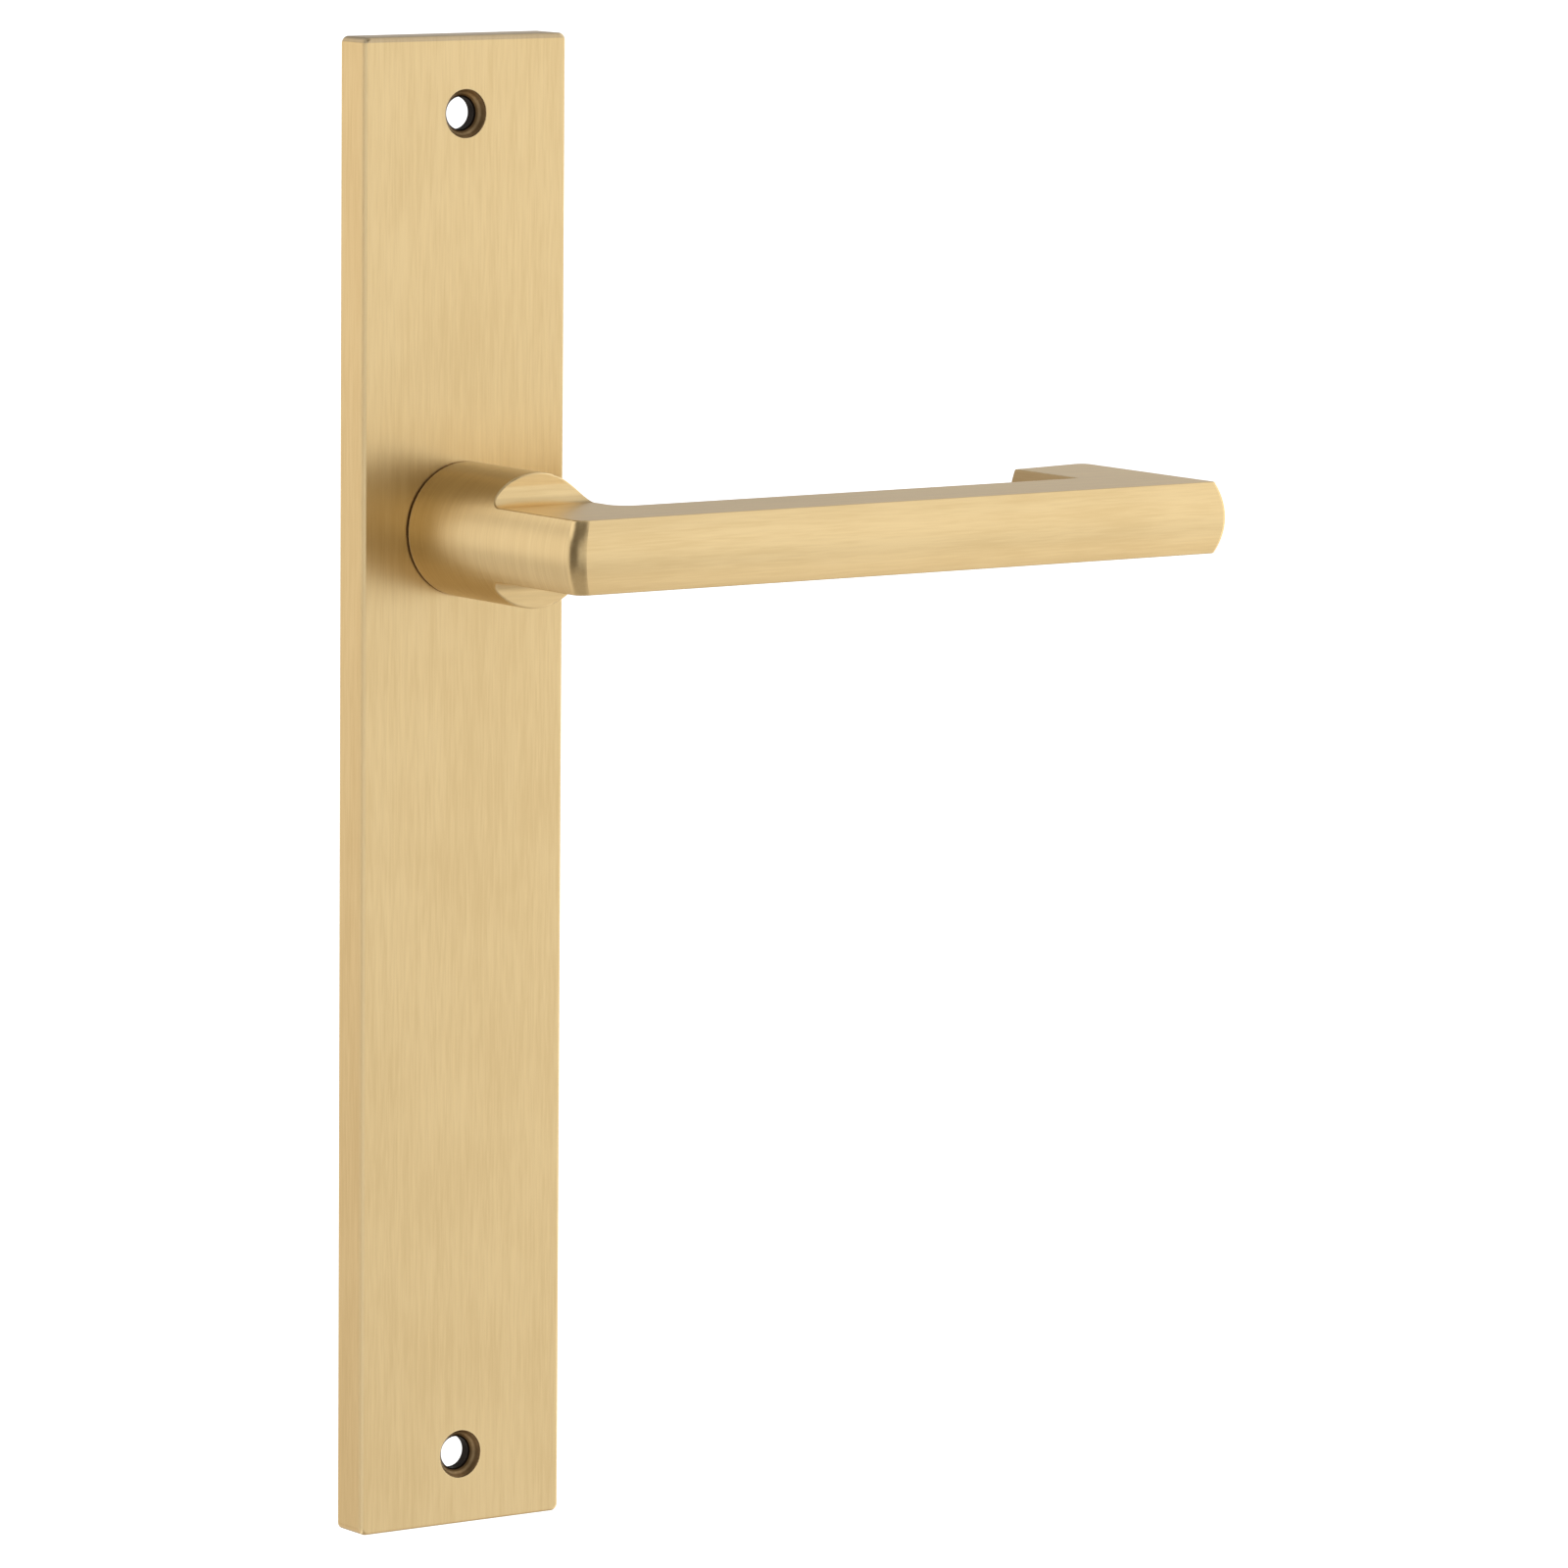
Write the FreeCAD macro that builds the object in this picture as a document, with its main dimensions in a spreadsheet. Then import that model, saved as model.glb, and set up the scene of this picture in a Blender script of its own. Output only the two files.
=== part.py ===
import FreeCAD, Part

import math
import os

import Sketcher
from FreeCAD import Placement, Rotation, Vector

# Lever handle on a long backplate.  Millimetres.  The origin is the lever's turning axis on the
# plate's back face, the face that lies on the door: +X runs along the lever, +Y into the door, +Z up.

DIMENSIONS = [
    ("plate_width", 38.0, "backplate, side to side"),
    ("plate_height", 240.0, "backplate, top to bottom"),
    ("plate_thickness", 6.8, "backplate, front to back"),
    ("plate_above_axis", 78.5, "from the lever's axis up to the plate's top"),
    ("plate_corner_radius", 1.2, "upright corner edges of the plate"),
    ("plate_edge_radius", 0.55, "softened front edges of the plate"),
    ("front_wall", 3.5, "thickness left in front of the hollow back"),
    ("side_wall", 3.0, "rim around the hollow back"),
    ("recess_corner_radius", 2.0, "corners of the hollow back"),
    ("block_half_height", 25.0, "solid block around the mechanism, above and below the axis"),
    ("screw_from_top", 12.4, "upper fixing hole to the plate's top"),
    ("screw_from_foot", 11.4, "lower fixing hole to the plate's foot"),
    ("screw_hole_radius", 2.6, "fixing hole"),
    ("screw_sink_radius", 3.9, "countersink at the front"),
    ("screw_rim_depth", 0.45, "straight rim before the countersink's cone"),
    ("cassette_radius", 14.5, "round pocket for the return spring"),
    ("cassette_front_wall", 1.3, "plate left in front of that pocket"),
    ("housing_wall", 0.4, "sheet steel cup that lines the pocket"),
    ("housing_rim", 0.45, "wall of that cup"),
    ("cover_width", 30.0, "steel cover of the pocket"),
    ("cover_height", 46.0, "steel cover of the pocket"),
    ("cover_thickness", 0.9, "steel cover of the pocket"),
    ("cover_sunk", 0.1, "cover under the level of the plate's back"),
    ("cover_corner_radius", 3.0, "steel cover of the pocket"),
    ("cover_screw_side", 11.0, "cover screw, sideways from the axis"),
    ("cover_screw_rise", 19.0, "cover screw, up or down from the axis"),
    ("cover_screw_radius", 1.25, "cover screw's thread"),
    ("cover_screw_head_radius", 2.1, "cover screw's countersunk head"),
    ("cover_screw_length", 5.2, "cover screw, head included"),
    ("cover_screw_drive_radius", 0.75, "hexagon socket in the cover screw"),
    ("cover_screw_drive_depth", 1.0, "hexagon socket in the cover screw"),
    ("thread_gap", 0.02, "between a thread and its hole, both drawn plain"),
    ("screw_play", 0.1, "between a screw and the hole that it passes through"),
    ("drill_spare", 0.3, "drilled deeper than the screw goes"),
    ("fit_gap", 0.05, "clearance of pieces that are fitted together"),
    ("neck_radius", 10.8, "round neck of the lever"),
    ("neck_gap", 0.4, "plate to neck"),
    ("projection", 54.8, "door to the lever's front"),
    ("lever_length", 116.3, "axis to the lever's far end"),
    ("grip_depth", 18.7, "grip, front to back"),
    ("grip_half_height", 5.85, "grip, half of the height between its flats"),
    ("grip_round", 13.25, "radius of the grip's convex front and back"),
    ("return_from_door", 17.2, "end of the return leg to the door"),
    ("return_slant", 10.0, "degrees that the return leg's end is cut aslant"),
    ("shoulder_from_door", 27.7, "wall of the step from round neck to flat, to the door"),
    ("shoulder_radius", 3.0, "hollow of that step"),
    ("elbow_radius", 2.2, "outer corner from neck to grip"),
    ("elbow_inner_radius", 4.0, "inner corner from neck to grip"),
    ("far_corner_radius", 0.7, "outer corner from grip to return leg"),
    ("return_end_radius", 1.8, "corner at the return leg's end"),
    ("lever_edge_radius", 0.3, "softened edges of the lever's flats"),
    ("journal_radius", 8.0, "lever's bearing surface in the plate"),
    ("tang_radius", 7.0, "lever's tang behind the bearing"),
    ("tang_half_flat", 5.6, "axis to the tang's two flats"),
    ("tang_behind_door_face", 2.6, "tang that stands behind the plate"),
    ("spindle_half", 3.8, "half of the square spindle's side"),
    ("spindle_depth", 24.0, "spindle in the lever, ahead of the door face"),
    ("spindle_out", 18.0, "spindle that stands behind the plate"),
    ("spindle_chamfer", 0.6, "lead-in at the spindle's free end"),
    ("grub_from_door", 17.0, "grub screw's axis to the door"),
    ("grub_radius", 2.5, "grub screw's thread"),
    ("grub_sunk", 0.8, "grub screw's end under the neck's surface"),
    ("grub_socket_radius", 1.44, "hexagon socket, across corners / 2"),
    ("grub_socket_depth", 2.2, "hexagon socket"),
    ("bush_wall", 1.5, "bearing bush in the plate"),
    ("bush_flange_radius", 10.6, "bearing bush's flange"),
    ("bush_flange_thickness", 0.5, "bearing bush's flange"),
    ("bearing_gap", 0.06, "running clearance of lever and bushes"),
    ("gap_ring_radius", 10.2, "sliding ring between plate and neck"),
    ("gap_ring_thickness", 0.3, "sliding ring between plate and neck"),
    ("cam_radius", 9.8, "driver on the tang"),
    ("cam_thickness", 1.2, "driver on the tang"),
    ("cam_lug_radius", 13.6, "driver's stop lug"),
    ("cam_lug_half_angle", 12.0, "driver's stop lug"),
    ("cam_lug_angle", 112.5, "driver's stop lug at rest, from +X towards +Z"),
    ("tab_radius", 0.8, "driver's spring pin"),
    ("tab_orbit", 11.9, "axis to the driver's spring pin"),
    ("tab_length", 2.1, "driver's spring pin"),
    ("lever_travel", 45.0, "degrees that the lever turns down"),
    ("stop_pin_radius", 1.2, "stop pins"),
    ("stop_pin_orbit", 12.6, "axis to the stop pins"),
    ("stop_clearance", 0.7, "degrees between lug and stop pin"),
    ("anchor_pin_radius", 1.0, "pin that holds the spring's fixed leg"),
    ("anchor_pin_orbit", 12.0, "axis to that pin"),
    ("anchor_pin_angle", 270.0, "its place, from +X towards +Z"),
    ("spring_wire_radius", 0.4, "return spring"),
    ("spring_coil_radius", 8.2, "return spring, axis to the wire's middle"),
    ("spring_pitch", 0.86, "return spring"),
    ("spring_rear_turn", 1.62, "return spring's rear leg, ahead of the door face"),
    ("spring_leg", 8.7, "straight legs of the return spring"),
    ("rear_bush_radius", 9.0, "bush in the cover"),
    ("washer_radius", 10.0, "washer behind the cover"),
    ("washer_thickness", 0.5, "washer behind the cover"),
    ("wave_washer_radius", 9.2, "springy washer behind the flat one"),
    ("wave_washer_thickness", 0.4, "springy washer behind the flat one"),
    ("washer_gap", 0.07, "play between cover, washers and retaining ring"),
    ("clip_thickness", 0.8, "retaining ring"),
    ("clip_radius", 8.6, "retaining ring"),
    ("clip_groove_radius", 6.2, "bottom of the retaining ring's groove"),
    ("clip_opening", 5.0, "gap between the retaining ring's ends"),
]

SPARE = 1  # a cutting tool reaches this far past what it cuts
LEAST_CUT = 0.01  # cubic millimetres that a pocket has to remove
SHORTEST_UPRIGHT = 0.5  # edges that run front to back are longer than this
WIRE_TOLERANCE = 0.02  # part of the spring's volume

doc = FreeCAD.newDocument("lever_handle")
sheet = doc.addObject("Spreadsheet::Sheet", "Sizes")
parts = []


def fill_sheet():
    for row, (alias, value, meaning) in enumerate(DIMENSIONS, start=1):
        sheet.set(f"A{row}", alias)
        sheet.set(f"B{row}", str(value))
        sheet.set(f"C{row}", meaning)
        sheet.setAlias(f"B{row}", alias)
    doc.recompute()


def size(alias):
    return float(sheet.get(alias))


def formula(text):
    """Every alias in an expression is looked up in the sheet."""
    for alias in sorted((row[0] for row in DIMENSIONS), key=len, reverse=True):
        text = text.replace("<" + alias + ">", "Sizes." + alias)
    return text


def bind(thing, **expressions):
    for name, text in expressions.items():
        thing.setExpression(name.replace("__", "."), formula(text))
    return thing


# --- solid primitives, placed by expressions -------------------------------------------------

ALONG_X = Rotation(Vector(0, 1, 0), 90)
ALONG_Y = Rotation(Vector(1, 0, 0), -90)
ALONG_Z = Rotation()


def place(thing, x="0", y="0", z="0"):
    return bind(thing, Placement__Base__x=x, Placement__Base__y=y, Placement__Base__z=z)


def box(name, x, y, z):
    """A box between two expressions on each axis."""
    solid = doc.addObject("Part::Box", name)
    length, width, height = [f"({high}) - ({low})" for low, high in (x, y, z)]
    bind(solid, Length=length, Width=width, Height=height)
    return place(solid, x[0], y[0], z[0])


def rod(name, direction, radius, length, x="0", y="0", z="0"):
    """A cylinder that starts at a point and runs along +X, +Y or +Z."""
    solid = doc.addObject("Part::Cylinder", name)
    solid.Placement = Placement(Vector(), direction)
    bind(solid, Radius=radius, Height=length)
    return place(solid, x, y, z)


def cone_y(name, near_radius, far_radius, length, x, y, z):
    solid = doc.addObject("Part::Cone", name)
    solid.Placement = Placement(Vector(), ALONG_Y)
    bind(solid, Radius1=near_radius, Radius2=far_radius, Height=length)
    return place(solid, x, y, z)


def hexagon(name, direction, radius, length, x="0", y="0", z="0"):
    solid = doc.addObject("Part::Prism", name)
    solid.Polygon = 6
    solid.Placement = Placement(Vector(), direction)
    bind(solid, Circumradius=radius, Height=length)
    return place(solid, x, y, z)


def fuse(name, shapes):
    joined = doc.addObject("Part::MultiFuse", name)
    joined.Shapes = shapes
    joined.Refine = True
    return joined


def common(name, shapes):
    shared = doc.addObject("Part::MultiCommon", name)
    shared.Shapes = shapes
    shared.Refine = True
    return shared


def cut(name, base, tool):
    rest = doc.addObject("Part::Cut", name)
    rest.Base = base
    rest.Tool = tool
    rest.Refine = True
    return rest


def round_edges(name, base, radius_alias, wanted):
    """Fillet the edges of base that the test function wanted picks."""
    doc.recompute()
    picked = [number for number, edge in enumerate(base.Shape.Edges, start=1) if wanted(edge)]
    if not picked:
        raise ValueError(f"{name}: no edge to round")
    radius = size(radius_alias)
    rounded = doc.addObject("Part::Fillet", name)
    rounded.Base = base
    rounded.Edges = [(number, radius, radius) for number in picked]
    return rounded


def keep(feature, label):
    """Name a finished sub-part and list it for export."""
    feature.Label = label
    parts.append(feature)
    return feature


# --- bodies made from sketches -----------------------------------------------------------------


def new_body(label):
    body = doc.addObject("PartDesign::Body", label)
    return keep(body, label)


def upright_sketch(body, name, y):
    """A sketch parallel to the plate, at the height y: sketch X is +X, sketch Y is +Z."""
    plane = [item for item in body.Origin.OriginFeatures if item.Role == "XZ_Plane"][0]
    sketch = body.newObject("Sketcher::SketchObject", name)
    sketch.AttachmentSupport = [(plane, "")]
    sketch.MapMode = "FlatFace"
    return bind(sketch, AttachmentOffset__Base__z=f"-({y})")


def add_circle(sketch, name, radius, x=None, z=None):
    """A circle on the sketch's origin, or held at the expressions x and z."""
    on_origin = x is None
    centre = Vector() if on_origin else Vector(1, 1, 0)
    number = sketch.addGeometry(Part.Circle(centre, Vector(0, 0, 1), 1.0), False)
    if on_origin:
        sketch.addConstraint(Sketcher.Constraint("Coincident", number, 3, -1, 1))
    else:
        hold_point(sketch, name, number, 3, x, z)
    dimension(sketch, name + "_radius", Sketcher.Constraint("Radius", number, 1.0), radius)


def dimension(sketch, name, constraint, expression):
    index = sketch.addConstraint(constraint)
    sketch.renameConstraint(index, name)
    sketch.setExpression("Constraints." + name, formula(expression))


def hold_point(sketch, name, geometry, point, x, z):
    """Signed distances of a point from the sketch's origin."""
    across = Sketcher.Constraint("DistanceX", -1, 1, geometry, point, 1.0)
    dimension(sketch, name + "_x", across, x)
    rise = Sketcher.Constraint("DistanceY", -1, 1, geometry, point, 1.0)
    dimension(sketch, name + "_z", rise, z)


def add_rectangle(sketch, name, x, z):
    """A rectangle between two expressions on each axis."""
    corners = [Vector(0, 0, 0), Vector(2, 0, 0), Vector(2, 2, 0), Vector(0, 2, 0)]
    first = sketch.GeometryCount
    for start, end in zip(corners, corners[1:] + corners[:1]):
        sketch.addGeometry(Part.LineSegment(start, end), False)
    for step in range(4):
        following = first + (step + 1) % 4
        sketch.addConstraint(Sketcher.Constraint("Coincident", first + step, 2, following, 1))
    for step in (0, 2):
        sketch.addConstraint(Sketcher.Constraint("Horizontal", first + step))
        sketch.addConstraint(Sketcher.Constraint("Vertical", first + step + 1))
    hold_point(sketch, name + "_low", first, 1, x[0], z[0])
    hold_point(sketch, name + "_high", first + 1, 2, x[1], z[1])


def pad_forward(body, sketch, name, length):
    """Pad towards the room, -Y."""
    pad = body.newObject("PartDesign::Pad", name)
    pad.Profile = sketch
    return bind(pad, Length=length)


def pocket(body, sketch, name, length, towards_room):
    """A pocket that runs from its sketch towards the room or the door, and must remove material."""
    doc.recompute()
    before = body.Shape.Volume
    hole = body.newObject("PartDesign::Pocket", name)
    hole.Profile = sketch
    hole.Reversed = towards_room
    bind(hole, Length=length)
    doc.recompute()
    if body.Shape.Volume > before - LEAST_CUT:
        raise ValueError(f"{name} removes nothing")
    return hole


def fillet_feature(body, name, base, radius, wanted):
    doc.recompute()
    picked = [f"Edge{number}" for number, edge in enumerate(base.Shape.Edges, start=1) if wanted(edge)]
    rounded = body.newObject("PartDesign::Fillet", name)
    rounded.Base = (base, picked)
    return bind(rounded, Radius=radius)


def ring_body(label, outer, inner, front, thickness):
    """A flat ring around the lever's axis whose front face is at the expression front."""
    body = new_body(label)
    sketch = upright_sketch(body, label + "_outline", f"({front}) + ({thickness})")
    add_circle(sketch, "outer", outer)
    add_circle(sketch, "inner", inner)
    pad_forward(body, sketch, label + "_pad", thickness)
    return body


# --- tests that pick edges ---------------------------------------------------------------------


def bounds_of(edge):
    return edge.BoundBox


def near(value, target, tolerance=0.02):
    return abs(value - target) < tolerance


def is_upright(edge):
    """True for an edge that runs front to back."""
    return bounds_of(edge).YLength > SHORTEST_UPRIGHT


def lies_at(edge, axis, value):
    """True for an edge that lies wholly at one X, Y or Z."""
    limits = bounds_of(edge)
    return near(getattr(limits, axis + "Min"), value) and near(getattr(limits, axis + "Max"), value)


# --- the plate and what is fixed to it ---------------------------------------------------------

LEVELS = {
    "front": "-<plate_thickness>",
    "plate_top": "<plate_above_axis>",
    "plate_bottom": "<plate_above_axis> - <plate_height>",
    "cover_back": "-<cover_sunk>",
    "cover_front": "-<cover_sunk> - <cover_thickness>",
    "neck_end": "-<plate_thickness> - <neck_gap>",
    "floor_back": "<cassette_front_wall> + <housing_wall> - <plate_thickness>",
    "cam_front": "<cassette_front_wall> + <housing_wall> - <plate_thickness>"
                 " + <bush_flange_thickness> + <fit_gap>",
    "top_hole": "<plate_above_axis> - <screw_from_top>",
    "bottom_hole": "<plate_above_axis> - <plate_height> + <screw_from_foot>",
    "washer_front": "<washer_gap> - <cover_sunk>",
    "wave_front": "<washer_thickness> + 2 * <washer_gap> - <cover_sunk>",
    "clip_front": "<washer_thickness> + <wave_washer_thickness> + 3 * <washer_gap> - <cover_sunk>",
}


def hollow(body, name, low, high):
    """One of the two long recesses in the plate's back."""
    half = "(<plate_width> / 2 - <side_wall>)"
    sketch = upright_sketch(body, name + "_outline", "0")
    add_rectangle(sketch, name, ("-" + half, half), (low, high))
    return pocket(body, sketch, name, "<plate_thickness> - <front_wall>", True)


def inside_rectangle(edge, half_width, low, high):
    limits = bounds_of(edge)
    straight = near(limits.XLength, 0) and near(limits.ZLength, 0)
    at_side = near(abs(limits.XMin), half_width)
    at_end = near(limits.ZMin, low) or near(limits.ZMin, high)
    return is_upright(edge) and straight and at_side and at_end


def make_backplate():
    body = new_body("backplate")
    outline = upright_sketch(body, "plate_outline", "0")
    half_width = ("-<plate_width> / 2", "<plate_width> / 2")
    add_rectangle(outline, "plate", half_width, (LEVELS["plate_bottom"], LEVELS["plate_top"]))
    slab = pad_forward(body, outline, "plate_slab", "<plate_thickness>")
    corners = fillet_feature(body, "plate_corners", slab, "<plate_corner_radius>", is_upright)
    front = -size("plate_thickness")
    fillet_feature(
        body, "plate_front_edge", corners, "<plate_edge_radius>", lambda edge: lies_at(edge, "Y", front)
    )
    hollow(body, "upper_recess", "<block_half_height>", "<plate_above_axis> - <side_wall>")
    lowest = LEVELS["plate_bottom"] + " + <side_wall>"
    lower = hollow(body, "lower_recess", lowest, "-<block_half_height>")
    inner_half = size("plate_width") / 2 - size("side_wall")
    top = size("plate_above_axis") - size("side_wall")
    bottom = size("plate_above_axis") - size("plate_height") + size("side_wall")
    block = size("block_half_height")
    fillet_feature(
        body, "recess_corners", lower, "<recess_corner_radius>",
        lambda edge: inside_rectangle(edge, inner_half, block, top)
        or inside_rectangle(edge, inner_half, bottom, -block),
    )
    cover_seat(body)
    cassette = upright_sketch(body, "cassette_outline", "0")
    add_circle(cassette, "cassette", "<cassette_radius>")
    pocket(body, cassette, "cassette_pocket", "<plate_thickness> - <cassette_front_wall>", True)
    bore = upright_sketch(body, "bush_bore_outline", "0")
    add_circle(bore, "bush_bore", "<journal_radius> + <bearing_gap> + <bush_wall>")
    pocket(body, bore, "bush_bore", "<plate_thickness>", True)
    for name, level in (("top_screw", LEVELS["top_hole"]), ("bottom_screw", LEVELS["bottom_hole"])):
        fixing_hole(body, name, level)
    cover_screw_holes(body)


def cover_seat(body):
    """Shallow seat that sinks the cover under the level of the plate's back."""
    sketch = upright_sketch(body, "cover_seat_outline", "0")
    half = "(<cover_width> / 2 + <fit_gap>)"
    rise = "(<cover_height> / 2 + <fit_gap>)"
    add_rectangle(sketch, "seat", ("-" + half, half), ("-" + rise, rise))
    seat = pocket(body, sketch, "cover_seat", "<cover_thickness> + <cover_sunk>", True)
    half_width = size("cover_width") / 2 + size("fit_gap")
    half_height = size("cover_height") / 2 + size("fit_gap")
    fillet_feature(
        body, "cover_seat_corners", seat, "<cover_corner_radius>",
        lambda edge: is_upright(edge)
        and near(abs(bounds_of(edge).XMin), half_width)
        and near(abs(bounds_of(edge).ZMin), half_height),
    )


def fixing_hole(body, name, level):
    """Countersunk hole: straight rim, cone of 45 degrees, then a short bore into the hollow back."""
    drill = upright_sketch(body, name + "_drill", "0")
    add_circle(drill, name, "<screw_hole_radius>", "0", level)
    pocket(body, drill, name + "_bore", "<plate_thickness>", True)
    sink = upright_sketch(body, name + "_sink_outline", LEVELS["front"])
    add_circle(sink, name + "_sink", "<screw_sink_radius>", "0", level)
    pocket(body, sink, name + "_rim", "<screw_rim_depth>", False)
    cone_depth = "(<screw_sink_radius> - <screw_hole_radius>)"
    foot = f"<screw_rim_depth> + {cone_depth} - <plate_thickness>"
    cone_hole(body, name + "_cone", "<screw_hole_radius>", "<screw_sink_radius>", cone_depth,
              ("0", foot, level))


def cone_hole(body, name, first_radius, last_radius, depth, start):
    """A conical hole that runs from its start towards the room."""
    x, y, z = start
    plane = [item for item in body.Origin.OriginFeatures if item.Role == "XZ_Plane"][0]
    cone = body.newObject("PartDesign::SubtractiveCone", name)
    cone.AttachmentSupport = [(plane, "")]
    cone.MapMode = "FlatFace"
    bind(cone, Radius1=first_radius, Radius2=last_radius, Height=depth)
    bind(cone, AttachmentOffset__Base__x=x, AttachmentOffset__Base__y=z)
    return bind(cone, AttachmentOffset__Base__z=f"-({y})")


def cover_screw_places():
    return [(across, rise) for across in ("-", "") for rise in ("-", "")]


def cover_screw_holes(body):
    sketch = upright_sketch(body, "cover_screw_drill", LEVELS["cover_front"])
    for number, (across, rise) in enumerate(cover_screw_places(), start=1):
        x = across + "<cover_screw_side>"
        z = rise + "<cover_screw_rise>"
        add_circle(sketch, f"thread_{number}", "<cover_screw_radius> + <thread_gap>", x, z)
    depth = "<cover_screw_length> - <cover_thickness> + <drill_spare>"
    pocket(body, sketch, "cover_screw_threads", depth, True)


def make_housing():
    """Sheet steel cup in the pocket, with a hole for the bearing bush in its floor."""
    body = new_body("spring_housing")
    outer = "<cassette_radius> - <fit_gap>"
    floor = upright_sketch(body, "housing_floor_outline", LEVELS["floor_back"])
    add_circle(floor, "floor", outer)
    add_circle(floor, "floor_hole", "<journal_radius> + <bearing_gap> + <bush_wall>")
    pad_forward(body, floor, "housing_floor", "<housing_wall>")
    rim = upright_sketch(body, "housing_rim_outline", LEVELS["cover_front"])
    add_circle(rim, "rim", outer)
    add_circle(rim, "rim_inside", outer + " - <housing_rim>")
    pad_forward(body, rim, "housing_rim", "<plate_thickness> - <cassette_front_wall>" + LEVELS["cover_front"])


def make_front_bush():
    """Flanged plastic bearing: the sleeve fills the plate's bore, the flange lies in the housing."""
    body = new_body("front_bush")
    inner = "<journal_radius> + <bearing_gap>"
    flange_back = LEVELS["floor_back"] + " + <bush_flange_thickness>"
    flange = upright_sketch(body, "bush_flange_outline", flange_back)
    add_circle(flange, "flange", "<bush_flange_radius>")
    add_circle(flange, "flange_bore", inner)
    pad_forward(body, flange, "bush_flange", "<bush_flange_thickness>")
    sleeve = upright_sketch(body, "bush_sleeve_outline", LEVELS["floor_back"])
    add_circle(sleeve, "sleeve", inner + " + <bush_wall> - <fit_gap>")
    add_circle(sleeve, "sleeve_bore", inner)
    pad_forward(body, sleeve, "bush_sleeve", "<cassette_front_wall> + <housing_wall>")


def make_cover():
    """Steel cover of the spring's pocket, with a bush hole and four countersunk holes."""
    body = new_body("cover_plate")
    outline = upright_sketch(body, "cover_outline", LEVELS["cover_back"])
    half = "<cover_width> / 2"
    rise = "<cover_height> / 2"
    add_rectangle(outline, "cover", ("-" + half, half), ("-" + rise, rise))
    slab = pad_forward(body, outline, "cover_slab", "<cover_thickness>")
    fillet_feature(body, "cover_corners", slab, "<cover_corner_radius>", is_upright)
    holes = upright_sketch(body, "cover_holes_outline", LEVELS["cover_back"])
    add_circle(holes, "bush_hole", "<rear_bush_radius> + <fit_gap>")
    for number, (across, up) in enumerate(cover_screw_places(), start=1):
        x = across + "<cover_screw_side>"
        z = up + "<cover_screw_rise>"
        add_circle(holes, f"screw_{number}", "<cover_screw_radius> + <screw_play>", x, z)
    pocket(body, holes, "cover_holes", "<cover_thickness>", True)
    head_depth = "(<cover_screw_head_radius> - <cover_screw_radius>)"
    for number, (across, up) in enumerate(cover_screw_places(), start=1):
        start = (across + "<cover_screw_side>", LEVELS["cover_back"], up + "<cover_screw_rise>")
        cone_hole(body, f"sink_{number}", "<cover_screw_head_radius> + <fit_gap>",
                  "<cover_screw_radius> + <fit_gap>", head_depth, start)


def make_cover_screws():
    """Four countersunk socket screws, alike, kept together as one group of solids."""
    screws = []
    head_depth = "(<cover_screw_head_radius> - <cover_screw_radius>)"
    back = LEVELS["cover_back"]
    for number, (across, rise) in enumerate(cover_screw_places(), start=1):
        at = {"x": across + "<cover_screw_side>", "z": rise + "<cover_screw_rise>"}
        tag = f"cover_screw_{number}"
        shank = rod(tag + "_shank", ALONG_Y, "<cover_screw_radius>", "<cover_screw_length>",
                    y=back + " - <cover_screw_length>", **at)
        head = cone_y(tag + "_head", "<cover_screw_radius>", "<cover_screw_head_radius>",
                      head_depth, y=f"{back} - {head_depth}", **at)
        socket = hexagon(tag + "_socket", ALONG_Y, "<cover_screw_drive_radius>",
                         "<cover_screw_drive_depth>", y=back + " - <cover_screw_drive_depth>", **at)
        screws.append(cut(tag, fuse(tag + "_blank", [shank, head]), socket))
    group = doc.addObject("Part::Compound", "cover_screws")
    group.Links = screws
    keep(group, "cover_screws")


def polar(orbit, angle):
    """Expressions for a point on a circle around the axis, its angle counted from +X towards +Z."""
    return f"{orbit} * cos({angle} * 1 deg)", f"{orbit} * sin({angle} * 1 deg)"


def pin(label, radius, orbit, angle):
    """A steel pin that stands from the housing's floor to the cover."""
    x, z = polar(orbit, angle)
    length = "<plate_thickness> - <cassette_front_wall> - <housing_wall>" + LEVELS["cover_front"]
    keep(rod(label, ALONG_Y, radius, length, x=x, y=LEVELS["floor_back"], z=z), label)


def make_pins():
    half_pin = "asin(<stop_pin_radius> / <stop_pin_orbit>) / 1 deg"
    reach = f"(<cam_lug_half_angle> + {half_pin} + <stop_clearance>)"
    rest = f"(<cam_lug_angle> + {reach})"
    end = f"(<cam_lug_angle> - <lever_travel> - {reach})"
    pin("rest_stop_pin", "<stop_pin_radius>", "<stop_pin_orbit>", rest)
    pin("end_stop_pin", "<stop_pin_radius>", "<stop_pin_orbit>", end)
    pin("spring_anchor_pin", "<anchor_pin_radius>", "<anchor_pin_orbit>", "<anchor_pin_angle>")


# --- the lever and what turns with it ----------------------------------------------------------


def convex_bar(name, near_face, far_face, start, end, turned):
    """Bar with flat top and bottom and two convex sides: along X, or along Y if turned."""
    solids = []
    for side, centre in (("near", f"{near_face} + <grip_round>"), ("far", f"{far_face} - <grip_round>")):
        direction = ALONG_Y if turned else ALONG_X
        at = {"x": centre, "y": start} if turned else {"x": start, "y": centre}
        solids.append(rod(f"{name}_{side}", direction, "<grip_round>", f"({end}) - ({start})", **at))
    across = (near_face, far_face)
    along = (start, end)
    x, y = (across, along) if turned else (along, across)
    solids.append(box(name + "_flats", x, y, ("-<grip_half_height>", "<grip_half_height>")))
    return common(name, solids)


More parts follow.
